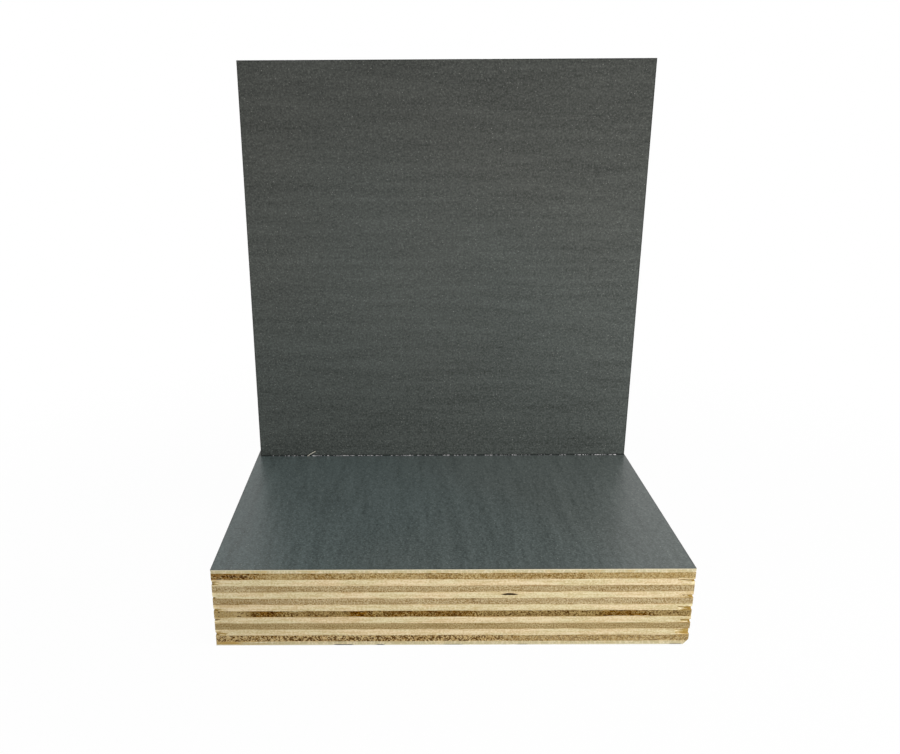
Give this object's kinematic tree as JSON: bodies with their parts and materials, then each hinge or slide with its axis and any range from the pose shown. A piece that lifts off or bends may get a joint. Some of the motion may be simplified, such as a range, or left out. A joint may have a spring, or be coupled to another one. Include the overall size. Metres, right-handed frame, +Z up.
{
  "type": "stack of plywood sheets",
  "caption": "Film-faced plywood sheet lying flat with a second sheet standing on it on edge; cut edges show the cross-laid veneers.",
  "frame": {"origin": "middle of the underside of the flat sheet", "axes": "+Z up, +X to the right along the front edge, -Y towards the front edge that shows the plies"},
  "size_m": [0.1, 0.1, 0.118],
  "materials": {
    "film": "satin",
    "long_veneer": "matte",
    "cross_veneer": "matte"
  },
  "bodies": {
    "root": {"flat_face_film": "film", "flat_ply_01": "long_veneer", "flat_ply_02": "cross_veneer", "flat_ply_03": "long_veneer", "flat_ply_04": "cross_veneer", "flat_ply_05": "long_veneer", "flat_ply_06": "cross_veneer", "flat_ply_07": "long_veneer", "flat_ply_08": "cross_veneer", "flat_ply_09": "long_veneer", "flat_ply_10": "cross_veneer", "flat_ply_11": "long_veneer", "flat_ply_12": "cross_veneer", "flat_ply_13": "long_veneer", "flat_back_film": "film", "upright_face_film": "film", "upright_ply_01": "long_veneer", "upright_ply_02": "cross_veneer", "upright_ply_03": "long_veneer", "upright_ply_04": "cross_veneer", "upright_ply_05": "long_veneer", "upright_ply_06": "cross_veneer", "upright_ply_07": "long_veneer", "upright_ply_08": "cross_veneer", "upright_ply_09": "long_veneer", "upright_ply_10": "cross_veneer", "upright_ply_11": "long_veneer", "upright_ply_12": "cross_veneer", "upright_ply_13": "long_veneer", "upright_back_film": "film"}
  },
  "joints": []
}
